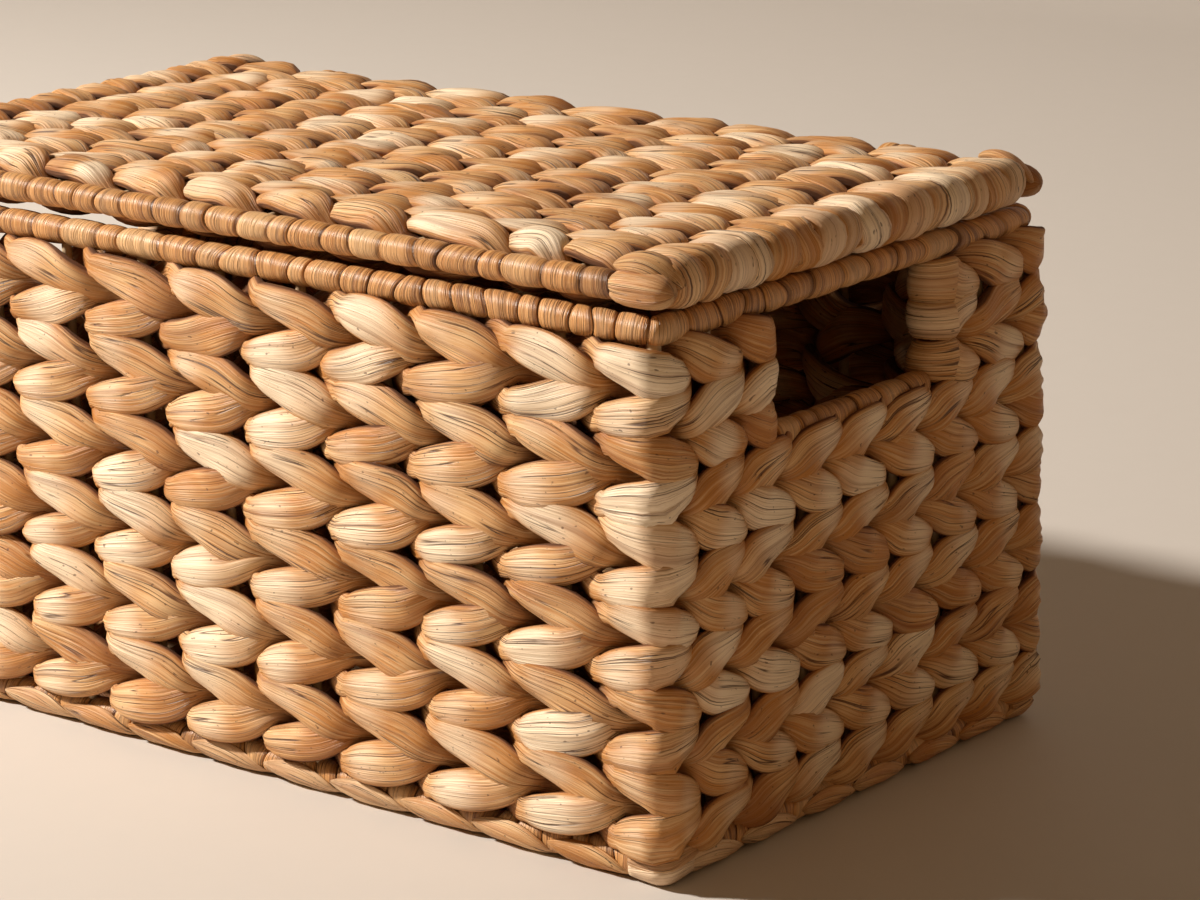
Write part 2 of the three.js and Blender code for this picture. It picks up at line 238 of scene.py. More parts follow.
class Value:
    """A number that a shader works out: wraps a socket, and adds a Math node for each operator."""

    def __init__(self, sheet, socket):
        self.sheet, self.socket = sheet, socket

    def __add__(self, other):
        return self.sheet.math("ADD", self, other)

    def __sub__(self, other):
        return self.sheet.math("SUBTRACT", self, other)

    def __mul__(self, other):
        return self.sheet.math("MULTIPLY", self, other)

    def __rsub__(self, other):
        return self.sheet.math("SUBTRACT", other, self)

    __radd__ = __add__
    __rmul__ = __mul__


class Finish:
    """A material whose nodes are written as expressions. node() adds any node by its type, its
    settings and the values or links of its sockets; the other methods are short forms of it."""

    def __init__(self, name):
        self.material = bpy.data.materials.new(name)
        self.material.use_nodes = True
        self.tree = self.material.node_tree
        self.shader = self.tree.nodes["Principled BSDF"]

    def node(self, kind, settings=None, **sockets):
        made = self.tree.nodes.new("ShaderNode" + kind)
        for key, value in (settings or {}).items():
            setattr(made, key, value)
        for key, value in sockets.items():
            self.feed(made.inputs[int(key[1:]) if key[1:].isdigit() else key.replace("_", " ")], value)
        return made

    def feed(self, socket, value):
        if isinstance(value, Value):
            self.tree.links.new(value.socket, socket)
        elif isinstance(value, bpy.types.NodeSocket):
            self.tree.links.new(value, socket)
        else:
            socket.default_value = value

    def math(self, operation, *terms):
        sockets = {f"s{i}": term for i, term in enumerate(terms)}
        return Value(self, self.node("Math", {"operation": operation}, **sockets).outputs[0])

    def step(self, value, low, high):
        """0 below low and 1 above high, with a smooth rise between them."""
        made = self.node("MapRange", {"interpolation_type": "SMOOTHSTEP"}, Value=value, s1=low, s2=high)
        return Value(self, made.outputs[0])

    def blend(self, colour, *layers):
        """A colour with others laid over it in turn, each given with its share."""
        for share, other in layers:
            colour = self.node("Mix", {"data_type": "RGBA"}, s0=share, s6=colour, s7=other).outputs[2]
        return colour

    def noise(self, place, detail=2.0, roughness=0.5, distortion=0.0):
        made = self.node("TexNoise", Vector=place, Scale=1.0, Detail=detail, Roughness=roughness,
                         Distortion=distortion)
        return Value(self, made.outputs["Fac"])

    def speckle(self, scale, detail=2.0):
        """Noise through the piece: its place is the Object coordinates times a scale."""
        place = self.node("TexCoord").outputs["Object"]
        scaled = self.node("VectorMath", {"operation": "SCALE"}, s0=place, Scale=scale)
        return self.noise(scaled.outputs[0], detail)

    def grain(self, lengthwise, crosswise, layer, *settings):
        """Noise drawn out along a strand: its place is the length along the strand and the
        distance round it, from the UV map in metres, each times a scale, at a layer."""
        place = self.node("VectorMath", {"operation": "MULTIPLY_ADD"},
                          s0=self.node("UVMap", {"uv_map": "strand"}).outputs[0],
                          s1=(lengthwise, crosswise, 0), s2=(0, 0, layer))
        return self.noise(place.outputs[0], *settings)

    def lines(self, noise, width):
        """Thin lines: 1 where a noise passes its middle value, and 0 from width away from it."""
        return 1 - self.step(self.math("ABSOLUTE", noise - 0.5), 0.0, width)

    def tone(self):
        """The strand's tone, from the tone attribute: a shade of its own, with painted light and shade.
        """
        return Value(self, self.node("Attribute", {"attribute_name": "tone"}).outputs["Fac"])

    def set(self, **constants):
        for key, value in constants.items():
            self.feed(self.shader.inputs[key.replace("_", " ")], value)

    def relief(self, height, distance):
        made = self.node("Bump", Height=height, Strength=1.0, Distance=distance)
        self.feed(self.shader.inputs["Normal"], made.outputs[0])


def rod_coat():
    """Tan paint over wire, in clouds of two shades, with small pits."""
    tan, pale = (0.48, 0.34, 0.2, 1), (0.6, 0.45, 0.28, 1)
    coat = Finish("rod_coat")
    cloud, pits = coat.speckle(90.0, 3.0), coat.speckle(900.0)
    colour = coat.blend(tan, (coat.step(cloud, 0.35, 0.7), pale))
    coat.set(Base_Color=colour, Roughness=0.42 + 0.2 * pits)
    coat.relief(pits, 0.00015)
    return coat.material


def body_rod_tubes(draws):
    """Every rod of the body, in the places of the CAD frame."""
    tubes = [ring_rod(foot_z, draws), ring_rod(rim_z, draws)]

    def upright(x, y, low, high, radius=rod_radius):
        tubes.append(round_rod((x, y, low), (x, y, high), radius, draws))

    def crossing(x, half, z):
        tubes.append(round_rod((x, -half, z), (x, half, z), rod_radius, draws))

    for x, y in posts:
        upright(x, y, foot_z - rod_radius, rim_z + rod_radius, post_radius)
    for x in (-half_length, half_length):
        crossing(x, handle_half, handle_z)
        for i in range(1, end_bays):
            y = -half_width + i * end_bay
            upright(x, y, foot_z, handle_z if abs(y) < handle_half - end_bay / 2 else rim_z)
    for y in (-half_width, half_width):
        for i in range(1, front_bays):
            upright(-half_length + i * front_bay, y, foot_z, rim_z)
    for i in range(1, floor_rods + 1):
        crossing(-half_length + i * 2 * half_length / (floor_rods + 1), half_width, floor_z)
    return tubes


coated = rod_coat(), "frame_rod"
make_piece("body_rods", body_rod_tubes(seeded(11)), *coated, "box", "body_frame")

# Floor weave
# Flattened plant stems, still soft when they are woven. Two strands are twisted round each other
# and round the rods between them, and at a floor rod near each end the pair turns back. Rows are
# twisted one way and the other in turn, so their strokes point to and fro.
bay_steps = 16
turn_points = 11
swing_round = 1.2
lag = 0.7
skew = -0.06
swell = 0.25
floor_courses = 8
Row = namedtuple("Row", "centre away stroke crown rise tail_side strokes lap")

# How a pair winds: how far its strands swing out and up, how far out they lie and how far they
# lean as they cross, and how far strokes stray from their stakes, as a row and each by itself.
Twist = namedtuple("Twist", "depth lift beside lean aside stray")
floor_twist = Twist(4.2 * mm, 3.9 * mm, 0.25, 0.18, 0.0, 0.04)

# Half the width and half the thickness of a strand at the crown of a stroke and where strands
# cross, and the powers by which they grow towards the crown.
Build = namedtuple("Build", "crown_width cross_width crown_thick cross_thick")
floor_build = Build(7.4 * mm, 4.8 * mm, 3.2 * mm, 3.2 * mm)
width_taper = 0.62
thick_taper = 0.8

# What each stroke draws for itself: the middle, the spread, the least and the most.
width_draw = (1.0, 0.05, 0.9, 1.1)
thick_draw = (1.0, 0.06, 0.85, 1.12)
tilt_draw = (0.0, 0.08, -0.16, 0.16)
shift_draw = (0.0, 0.4 * mm, -0.8 * mm, 0.8 * mm)
tone_draw = (0.0, 0.45, -0.8, 0.9)

# The section of a strand: its points, its lap on the chart, the depth and width of its creases,
# the height of its waves, and how much painted light and shade change its tone. The tone gets a
# painted highlight on the crown and painted shade in the hollows and at the edges. It is painted
# lighter towards the head of a stroke and darker towards its tail.
section_points = 28
section_lap = 38 * mm
creases = ((0.9 * mm, 0.14), (0.6 * mm, 0.1))
wave_height = 0.16 * mm
painted_crown_highlight = 2.5
painted_hollow_shade = 2.2
painted_edge_shade = 2.2
painted_head_tail_shade = 0.45


def swing(turn, twist):
    """Distance out of a strand, from d outside to -d inside: d (s + b (1 - s^2)), where s is
    tanh (k cos t) / tanh k, and b how far out the two strands lie beside each other as they cross."""
    out = np.tanh(swing_round * np.cos(turn)) / np.tanh(swing_round)
    return twist.depth * (out + twist.beside * (1 - out ** 2))


def climb(turn, tail_side, twist):
    """Height of a strand above its row's middle at the stake: l (sin w - sin w0), with w = t - a
    (f + |f| sin t) / 2, and w0 the same at t = 0. f is 1 or -1 for the side of the tail: a stroke
    runs straight on past the crossing, and the strand turns back behind the next one."""
    late = turn - lag * (tail_side + np.abs(tail_side) * np.sin(turn)) / 2
    return twist.lift * (np.sin(late) + np.sin(lag * tail_side / 2))


def bay_places(first, last):
    """Places from one stake to another in bays, closer together where strands cross, midway:
    u + sin (2 pi u) / 4 pi."""
    even = np.linspace(first, last, int(round((last - first) * bay_steps)) + 1)
    return even + np.sin(2 * np.pi * even) / (4 * np.pi)


def eased(share):
    """A share kept between 0 and 1 that starts and ends gently: s^2 (3 - 2 s)."""
    share = np.clip(share, 0, 1)
    return share * share * (3 - 2 * share)


def between(values, place, soft=0.4):
    """Values at whole places, with a smooth change of width soft half way between them."""
    whole = np.floor(place).astype(int)
    part = eased((place - whole - 0.5) / soft + 0.5)
    count = len(values)
    return values[whole % count] * (1 - part) + values[(whole + 1) % count] * part


def wander(draws, bays, slant, twist):
    """How far, in bays, the strokes of a row lie from their stakes: a draw for the whole row,
    to the side that its slant gives, and one for each stake."""
    whole = draws.normal(-twist.aside * slant, twist.stray * 0.6)
    return whole + draws.normal(0, twist.stray, bays)


def stroke_line(along, turn, slant, tail_side, twist):
    """A strand's middle line, the way its face points, which leans by l sin 2t, and how near each
    place is to the crown of a stroke: |cos (t - g f)|, where g is swell and f the tail's side."""
    centre = np.stack([along, -slant * climb(turn, tail_side, twist), swing(turn, twist)], -1)
    away = np.stack([0 * turn, twist.lean * slant * np.sin(2 * turn), 1 + 0 * turn], -1)
    return centre, away, np.abs(np.cos(turn - swell * tail_side))


def folded_row(stakes, slant, twist, shift, sway=(0, 0), spread=-0.35, tails=None, roll=0.0):
    """A pair that is one strand folded round the first stake and round the last: out along one
    path, half a circle of radius depth round the last stake, and back along the other. The pair
    has turned by pi (u - f s sin^2 (pi u)) at a place u, where s is skew. At its ends it swerves
    sideways by sway sin 2t, and its crown grows by spread sin t. Between the ends, shift moves
    the strokes, in bays, and roll leans them sideways. Rise is the distance out from the stake."""
    bays = len(stakes) - 1
    bay = bay_places(0, bays)
    along = np.interp(bay, np.arange(bays + 1), stakes)
    tail_side = np.sin(np.clip(2 * np.minimum(bay, bays - bay), 0, 1) * np.pi / 2)
    if tails:
        tail_side = tail_side * tails(along)
    bay = bay + between(np.concatenate([[0], shift[1:], [0]]), bay, 1.0)
    turn = np.pi * (bay - tail_side * skew * np.sin(np.pi * bay) ** 2)
    there, tip, crown = stroke_line(along, turn, slant, tail_side, twist)
    back = stroke_line(along, turn + np.pi, slant, tail_side, twist)[0][::-1]
    depth, side = twist.depth, np.sign(there[-1, 2])
    half = np.linspace(0, np.pi, turn_points)[1:-1]
    zero = np.zeros_like(half)
    last = np.stack([np.sin(half), zero, side * np.cos(half)], -1)
    first = np.stack([-np.sin(half), zero, -np.cos(half)], -1)
    swerves = [np.stack([zero, bend * np.sin(2 * half), zero], -1) for bend in sway]
    centre = np.concatenate([there, [stakes[-1], 0, 0] + depth * last + swerves[0],
                             back, [stakes[0], 0, 0] + depth * first + swerves[1]])
    rolled = tail_side[:, None] * [0, roll, 0]
    away = np.concatenate([tip + rolled, side * last, -(tip * [1, -1, 1] + rolled)[::-1], first])
    rise = np.concatenate([there[:, 2], zero + side * depth, -back[:, 2], zero + depth])
    stroke = np.concatenate([bay, zero + bays, bays + bay, zero + 2 * bays])
    folded = 1 + spread * np.sin(half)
    crown = np.concatenate([crown, folded, crown[::-1], folded])
    tail_side = np.concatenate([tail_side, zero, -tail_side, zero])
    return Row(centre, away, stroke, crown, rise, tail_side, 2 * bays, 0)


def signed_power(value, power):
    """A power of a value's size, with the value's sign."""
    return np.sign(value) * np.abs(value) ** power


def strand(row, place, draws, build, number):
    """The surface of one flattened strand: at angle a round its section it is w sin a wide and
    b cos a thick, each to a power just under 1. Both grow from where strands cross to the crown
    of a stroke. Creases, bell curves across a face, run along it, and slow waves make it uneven.
    Each stroke draws its own size, place and tone. On top of that the tone carries painted light
    and shade: a painted highlight at the crown, and painted shade at the edges, towards the
    stroke's tail and where it goes in between the others. Towards the head it is painted lighter."""
    def each(middle, spread, low, high):
        return between(draws.normal(middle, spread, row.strokes).clip(low, high), row.stroke)

    width = build.cross_width + (build.crown_width - build.cross_width) * row.crown ** width_taper
    thick = build.cross_thick + (build.crown_thick - build.cross_thick) * row.crown ** thick_taper
    width = width * each(*width_draw)
    thick = thick * each(*thick_draw)
    tilt, shift, tone = each(*tilt_draw), each(*shift_draw), each(*tone_draw)
    normal, side = frames_along(row.centre, row.away, True, row.lap)
    turned = np.cos(tilt)[:, None] * normal + np.sin(tilt)[:, None] * side
    side = np.cos(tilt)[:, None] * side - np.sin(tilt)[:, None] * normal
    angle = round_angles(section_points, -np.pi / 2)
    across = signed_power(np.sin(angle), 0.96)
    through = signed_power(np.cos(angle), 0.9)
    faces = signed_power(np.cos(angle), 0.5)
    nearest = np.round(row.stroke).astype(int) % row.strokes
    fade = np.clip(row.crown / 0.3, 0, 1) * (1.2 - 0.75 * row.crown)
    dent = 0
    for face in (0, np.pi):
        for depth, spread in creases:
            at = draws.uniform(-0.65, 0.65, row.strokes)[nearest] + 0.4 * (row.stroke - nearest) + face
            deep = draws.uniform(0.1, 1.0, row.strokes)[nearest] * fade
            apart = (angle - at[:, None] + np.pi) % (2 * np.pi) - np.pi
            dent = dent + depth * deep[:, None] * np.exp(-(apart / spread) ** 2)
    for waves in (3, 5):
        phase = draws.uniform(0, 2 * np.pi, 2)
        drift = phase[0] + 1.5 * np.sin(row.stroke * 2.3 + phase[1])
        dent = dent + wave_height * np.sin(waves * angle + drift[:, None])
    lift = thick[:, None] * through - dent * faces
    reach = np.abs(row.rise).max() + build.crown_thick
    height = np.abs(row.rise[:, None] + lift) / reach
    # Painted light and shade in the tone: lighter towards a stroke's head and darker towards its tail,
    # a painted highlight at the crown, and painted shade deep between the strands and at the section's
    # edges.
    tone = tone - painted_head_tail_shade * row.tail_side * np.sin(2 * np.pi * row.stroke)
    tone = tone[:, None] + painted_crown_highlight * np.clip(height - 0.75, 0, 0.25)
    tone = tone - painted_hollow_shade * np.clip(0.8 - height, 0, 1) ** 1.5
    tone = tone - painted_edge_shade * np.sin(angle) ** 22
    spot = carried(row.centre, turned, side, lift, width[:, None] * across + shift[:, None])
    points = place(spot[..., 0], spot[..., 1], spot[..., 2])
    middle = points.mean(axis=1)
    step = np.linalg.norm(np.roll(middle, -1, axis=0) - middle, axis=1)
    along = draws.uniform(0, 3) + np.concatenate([[0], np.cumsum(step)])
    around = section_lap * np.arange(section_points + 1) / section_points + 0.3 * number
    return Tube(points, True, chart_of(along, around), tone)


def dry_stem():
    """Dried plant stem: straw with long fibres, a few brown streaks, cracks and specks. Some
    strokes are paler or darker of their own, and the tone also paints light on it: paler at
    painted highlights, dark brown to near black in painted shade.
    """
    straw, pale, bleached_and_highlight = (0.53, 0.21, 0.04, 1), (0.83, 0.54, 0.265, 1), (0.96, 0.79, 0.57, 1)
    brown, crack, dirt = (0.23, 0.065, 0.006, 1), (0.08, 0.023, 0.004, 1), (0.09, 0.032, 0.01, 1)
    darker_tone_and_shade, hollow = (0.31, 0.095, 0.012, 1), (0.08, 0.022, 0.003, 1)
    stem = Finish("dry_stem")
    tone = stem.tone()
    fibre = stem.grain(12, 1100, 0.0, 3.0, 0.65)
    hair = stem.grain(24, 3000, 1.7, 2.0, 0.6)
    streak = stem.grain(8, 400, 3.1)
    cloud = stem.grain(40, 90, 5.3)
    speck = stem.grain(420, 900, 2.3, 1.0)
    line = stem.lines(stem.grain(6, 330, 7.9, 1.0, 0.5, 0.2), 0.014) * stem.step(cloud, 0.38, 0.54)
    # Painted shade: the darkest tones, deep between the strands and at their edges, turn near black and
    # rougher.
    deep = stem.step(tone, -0.9, -2.1)
    # The near-white at high tone is partly paler strokes and partly a painted highlight on the crowns.
    # The dark brown at low tone is partly darker strokes and partly painted shade.
    colour = stem.blend(straw, (stem.step(fibre * 0.6 + cloud * 0.4, 0.38, 0.68), pale),
                        (stem.step(tone, 0.1, 1.5) * 0.85, bleached_and_highlight),
                        (stem.step(streak, 0.52, 0.74) * 0.45, brown),
                        (stem.step(hair, 0.52, 0.7) * 0.5, brown), (line * 0.9, crack),
                        (stem.step(speck, 0.7, 0.78) * 0.7, dirt),
                        (stem.step(tone, 0.1, -1.2) * 0.7, darker_tone_and_shade), (deep * 0.85, hollow))
    stem.set(Base_Color=colour, Roughness=0.38 + 0.24 * fibre + 0.35 * deep, Specular_IOR_Level=0.42)
    stem.relief(fibre + hair * 0.4 + streak * 0.6 - line * 0.6, 0.0007)
    return stem.material


def flat_row(y, z):
    """Puts a row's strands in a level plane: along X at a place y and a height z."""
    return lambda along, up, out: np.stack(np.broadcast_arrays(along, y + up, z + out), axis=-1)


woven = dry_stem(), "twined_strand"
floor_step = half_length * 2 / (floor_rods + 1)
floor_end = floor_high.x - floor_twist.depth - floor_build.crown_thick
floor_stakes = np.arange(1 - floor_rods, floor_rods) * floor_step / 2
floor_stakes = np.concatenate([[-floor_end], floor_stakes, [floor_end]])
for number in range(1, floor_courses + 1):
    draws = seeded(200 + number)
    low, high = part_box(f"floor_course_{number}")
    pitch = (high.y - low.y) / 2
    strands = []
    for i, slant in enumerate((1, -1)):
        shift = wander(draws, len(floor_stakes) - 1, slant, floor_twist)
        row = folded_row(floor_stakes, slant, floor_twist, shift)
        place = flat_row(low.y + (i + 0.5) * pitch, floor_z)
        strands.append(strand(row, place, draws, floor_build, i))
    make_piece(f"floor_weave_{number}", strands, *woven, "box", f"floor_course_{number}")

# Wall weave
# The same stems go round the box as a pair: one strand passes outside a stake while the other
# passes inside it. Beside the handle openings the pair folds round the opening's edge instead.
wall_twist = Twist(6.0 * mm, 5.4 * mm, 0.5, 0.18, 0.03, 0.05)
wall_build = Build(8.6 * mm, 4.5 * mm, 3.1 * mm, 3.2 * mm)
wall_courses = 6
tail_change = 10 * mm

# Length along the walls' line of each post and stake, once round.
front_and_end = np.append(np.arange(front_bays) * front_bay,
                          2 * half_length + np.arange(end_bays) * end_bay)
stakes = np.concatenate([front_and_end, wall_lap / 2 + front_and_end, [wall_lap]])


def tails_on_wall(along):
    """The side of a stroke's tail: ahead, 1, on the front and rear, and behind, -1, on the ends.
    Within tail_change of a post it goes from one to the other as a sine."""
    half = along % (wall_lap / 2)
    past = half - 2 * half_length
    into = np.where(past < 0, np.minimum(half, -past), -np.minimum(past, wall_lap / 2 - half))
    return np.sin(np.clip(into / tail_change, -1, 1) * np.pi / 2)


def ring_row(slant, phase, shift):
    """A strand that goes round the whole wall. Half a turn of its twist takes one bay: it is
    outside at one stake and inside at the next, and above or below the row's middle between.
    Shift moves its strokes from the stakes, in bays."""
    bays = len(stakes) - 1
    bay = bay_places(0.5, bays + 0.5)[:-1]
    along = np.interp(bay, np.arange(bays + 2), np.append(stakes, wall_lap + stakes[1]))
    tail_side = tails_on_wall(along)
    bay = bay + between(shift, bay, 1.0)
    turn = np.pi * (bay + phase - tail_side * skew * np.sin(np.pi * bay) ** 2)
    centre, away, crown = stroke_line(along, turn, slant, tail_side, wall_twist)
    return Row(centre, away, bay, crown, centre[:, 2], tail_side, bays, wall_lap)


def on_row(height):
    """Puts a row's strands on the walls with the row's middle at a height."""
    return lambda along, up, out: on_wall(along, up + height, out)


def wall_course(number, low, high):
    """The strands of one course: two rows, the upper one slanting down to the right. Where the
    course is beside a handle opening, a row is a folded pair in front and another behind. Every
    row draws how its strokes stray once round, and a row that is cut draws again for each pair."""
    draws = seeded(100 + number)
    pitch = (high - low) / 2
    front, rear = [], []
    for upper, slant in ((True, 1), (False, -1)):
        height = low + pitch * (1.5 if upper else 0.5)
        cut = height + pitch / 2 > handle_z + bar_radius / 2
        shift = wander(draws, len(stakes) - 1, slant, wall_twist)
        if cut:
            reach = (end_bays - handle_bays) // 2
            lap = np.concatenate([stakes[:-1] - wall_lap, stakes])
            start = len(stakes) - 1 - reach
            part = lap[start:start + front_bays + 2 * reach + 1]
            for strands, begin in ((front, 0), (rear, wall_lap / 2)):
                shift = wander(draws, len(part) - 1, slant, wall_twist)
                row = folded_row(part + begin, slant, wall_twist, shift, tails=tails_on_wall)
                strands.append(strand(row, on_row(height), draws, wall_build, len(strands)))
        else:
            for phase in (0, 1):
                row = ring_row(slant, phase, shift)
                front.append(strand(row, on_row(height), draws, wall_build, len(front)))
    return front, rear


low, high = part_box("wall_course_1_front")
for part, strands in zip(("front", "back"), wall_course(1, low.z, high.z)):
    make_piece(f"wall_weave_1_{part}", strands, *woven, "box", f"wall_course_1_{part}")
for number in range(2, wall_courses + 1):
    low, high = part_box(f"wall_course_{number}")
    front, rear = wall_course(number, low.z, high.z)
    make_piece(f"wall_weave_{number}", front + rear, *woven, "box", f"wall_course_{number}")

# Bindings of the rim and the handles
# Split stem wound tightly round the rim and the two handle bars, shinier than the weave. Each
# turn starts under the one before it, so every turn shows its edge.
strip_steps = np.array([0, 0.03, 0.08, 0.16, 0.3, 0.5, 0.7, 0.84, 0.92, 0.97])
strip_edge = np.array([-1.3, -0.6, -0.2, 0.0, 0.12, 0.1, -0.02, -0.2, -0.42, -0.75]) * mm
strip_sides = 22
strip_pitch = 14.5 * mm
strip_radius = bar_radius - 0.1 * mm
edge_slope = 1.1 * mm
edge_bend = 0.5 * mm
# Painted shade at the edges of each turn: tone per mm that the edge dips.
painted_strip_edge_shade = 1.1


def winding(place, length, closed, radius, pitch, draws):
    """A strip wound round a bar, as one grid of rings. Each turn has a width of its own; ring s
    lies at s + l sin a + m cos 2a, with l and m drawn for each edge between turns, and its
    radius dips where one turn passes under the next. Each turn draws a tone of its own, and
    the tone is painted darker where the strip dips at an edge: painted shade."""
    turns = int(round(length / pitch))
    widths = draws.normal(1.0, 0.26, turns).clip(0.55, 1.6)
    edges = np.concatenate([[0], np.cumsum(widths)]) * length / widths.sum()
    slopes, bends = draws.normal(0, edge_slope, turns + 1), draws.normal(0, edge_bend, turns + 1)
    slopes[-1], bends[-1] = slopes[0], bends[0]

    def spread(values):
        return (values[:-1, None] * (1 - strip_steps) + values[1:, None] * strip_steps).ravel()

    angle = round_angles(strip_sides, 0.75 * np.pi)
    run = spread(edges)[:, None] + spread(slopes)[:, None] * np.sin(angle)
    run = run + spread(bends)[:, None] * np.cos(2 * angle)
    if not closed:
        run = run.clip(0.2 * mm, length - 0.2 * mm)
    bulge = draws.normal(0, 0.12 * mm, turns).clip(-0.3 * mm, 0.2 * mm)
    size = (radius + strip_edge + bulge[:, None]).ravel()[:, None]
    points = place(run, -size * np.sin(angle), size * np.cos(angle))
    tone = np.repeat(draws.normal(0, 0.5, turns).clip(-1.1, 1.1), len(strip_steps))
    # Painted shade: the tone falls where a turn's edge dips under the next, and rises a little at its
    # middle.
    tone = tone + np.tile(strip_edge / mm, turns) * painted_strip_edge_shade
    offset = np.repeat(draws.uniform(0, 1, turns), len(strip_steps))
    offset, middle = np.append(offset, offset[-1]), np.append(spread(edges), length)
    lap = np.append(angle, angle[0] + 2 * np.pi) * radius
    chart = np.stack([lap + offset[:, None], middle[:, None] + 0 * lap], axis=-1)
    return Tube(points, closed, chart, tone[:, None])


def split_strip():
    """Split stem: smooth and shiny, golden brown, with fine lines along it. Some turns are
    darker or paler of their own. The dark brown at the lowest tones is also painted shade at
    the edges of the turns.
    """
    golden, light, pale = (0.5, 0.21, 0.058, 1), (0.72, 0.37, 0.13, 1), (0.86, 0.57, 0.29, 1)
    brown, crack, dirt = (0.22, 0.07, 0.018, 1), (0.12, 0.036, 0.01, 1), (0.09, 0.03, 0.01, 1)
    darker_tone_and_shade = (0.1, 0.032, 0.01, 1)
    strip = Finish("split_strip")
    tone = strip.tone()
    fibre = strip.grain(30, 1500, 0.0, 3.0, 0.65)
    streak = strip.grain(25, 400, 2.7)
    speck = strip.grain(500, 900, 0.0, 1.0)
    seam = strip.lines(strip.grain(18, 900, 4.1, 1.0), 0.045)
    colour = strip.blend(golden, (strip.step(fibre, 0.36, 0.64), light),
                         (strip.step(streak, 0.52, 0.72) * 0.6, brown), (seam * 0.55, crack),
                         (strip.step(speck, 0.72, 0.8) * 0.6, dirt),
                         (strip.step(tone, -0.3, -1.8) * 0.85, darker_tone_and_shade),
                         (strip.step(tone, 0.0, 1.1) * 0.5, pale))
    strip.set(Base_Color=colour, Roughness=0.32 + 0.22 * fibre, Specular_IOR_Level=0.6)
    strip.relief(fibre * 0.8 + streak * 0.6 - seam * 0.7, 0.0006)
    return strip.material


def bind_bar(name, body, node, start, heading, outward, length, draws):
    """The binding of a straight bar, wound from its start along its heading."""
    start, heading, outward = (np.array(item, float) for item in (start, heading, outward))

    def place(along, up, out):
        along, up, out = np.broadcast_arrays(along, up, out)
        return start + along[..., None] * heading + out[..., None] * outward + up[..., None] * [0, 0, 1]

    turns = winding(place, length, False, strip_radius, strip_pitch, draws)
    make_piece(name, [turns], *wound, body, node)


wound = split_strip(), "wound_strip"
rim = winding(on_row(rim_z), wall_lap, True, strip_radius, strip_pitch, seeded(31))
make_piece("rim_binding", [rim], *wound, "box", "rim_wrap")
handle_run = handle_high.y - handle_low.y
for number, (side, sign) in enumerate((("left", -1), ("right", 1))):
    start = (sign * half_length, -sign * handle_run / 2, handle_z)
    bind_bar(f"handle_binding_{side}", "box", f"handle_bar_wrap_{side}",
             start, (0, sign, 0), (sign, 0, 0), handle_run, seeded(33 + number))

# Foot border
# The foot ring is wound with split stem, and a row of leaf ends is tucked over it from the
# weave above: each comes down over the front of the winding and goes in underneath.
foot_core = 5.3 * mm
foot_pitch = 11 * mm
leaf_step = 34 * mm
leaf_margin = 12 * mm
leaf_thick = 1.5 * mm
leaf_lap = 7 * mm
foot_mid = foot_core + leaf_thick
floor_gap = 0.4 * mm


def above_floor(along, up, out):
    """Places on the walls, up from the foot's middle and none nearer the floor than floor_gap."""
    return on_wall(along, np.maximum(foot_mid + up, floor_gap), out)


def laid_leaf(run, turn, half, thick, draws, number):
    """A leaf laid on the foot's winding, of radius r. Its middle line runs over the winding at
    lengths run and angles turn, and at w across it, from -1 to 1, it stands thick (1 - w^2)^0.5
    above the winding, with small folds along it."""
    radius = foot_core
    slope = np.gradient(radius * turn) + 1j * np.gradient(run)
    slope = slope / np.abs(slope)
    outer = np.cos(np.linspace(0, np.pi, 11))
    inner = np.cos(np.linspace(np.pi, 0, 5))[1:-1]
    w = np.concatenate([outer, inner])
    rise = np.concatenate([np.sqrt(1 - outer ** 2 + 1e-9), -0.4 * np.sqrt(1 - inner ** 2)])
    fold = 0.25 * mm * np.sin(6.2 * w + draws.uniform(0, 6)) * (rise > 0)
    thick = thick[:, None]
    height = radius + thick * rise + fold * (thick / thick.max())
    spread = half[:, None] * w
    s = run[:, None] - spread * slope.real[:, None]
    a = turn[:, None] + spread * slope.imag[:, None] / radius
    points = above_floor(s, height * np.sin(a), height * np.cos(a))
    length = np.concatenate([[0], np.cumsum(np.abs(np.diff(run) + 1j * radius * np.diff(turn)))])
    spacing = np.concatenate([1 - outer, 3 + inner, [4]]) * leaf_lap + 0.3 * number
    chart = chart_of(length + draws.uniform(0, 3), spacing)
    return Tube(points, False, chart, draws.normal(0.35, 0.4))


def foot_leaves(draws):
    """A leaf about every leaf_step along each side, and two bands round each corner. Along a
    leaf it bends down and under, and its width goes up from a point and back as a sine."""
    leaves = []
    share = np.linspace(0, 1, 14)
    for start, length in zip(side_starts, side_lengths):
        count = int(round((length - 2 * leaf_margin) / leaf_step))
        step = (length - 2 * leaf_margin) / count
        for i in range(count):
            first = start + leaf_margin + (i - 0.1 + draws.normal(0, 0.03)) * step
            run = first + 1.12 * step * share
            turn = np.radians(-4 - 84 * share ** 1.2 + draws.normal(0, 4))
            half = (0.6 + 6.5 * np.sin(np.pi * share ** 1.2) ** 0.7) * mm
            thick = leaf_thick * (0.25 + 0.75 * np.sin(np.pi * np.clip(share * 1.1, 0, 1)) ** 0.5)
            leaves.append(laid_leaf(run, turn, half, thick, draws, len(leaves)))
    for start in side_starts:
        for angle in (28, -22):
            run = start + np.linspace(-15 * mm, 15 * mm, 17) + draws.normal(0, mm)
            edge = np.clip(1 - np.abs(run - start - draws.normal(0, mm)) / (16.5 * mm), 0, 1)
            turn = np.radians(angle + 8 * np.sin((run - start) / (9 * mm)))
            half = (1.0 + 4.2 * edge ** 0.5) * mm
            thick = leaf_thick * (0.2 + 1.0 * edge ** 0.5)
            leaves.append(laid_leaf(run, turn, half, thick, draws, len(leaves)))
    return leaves


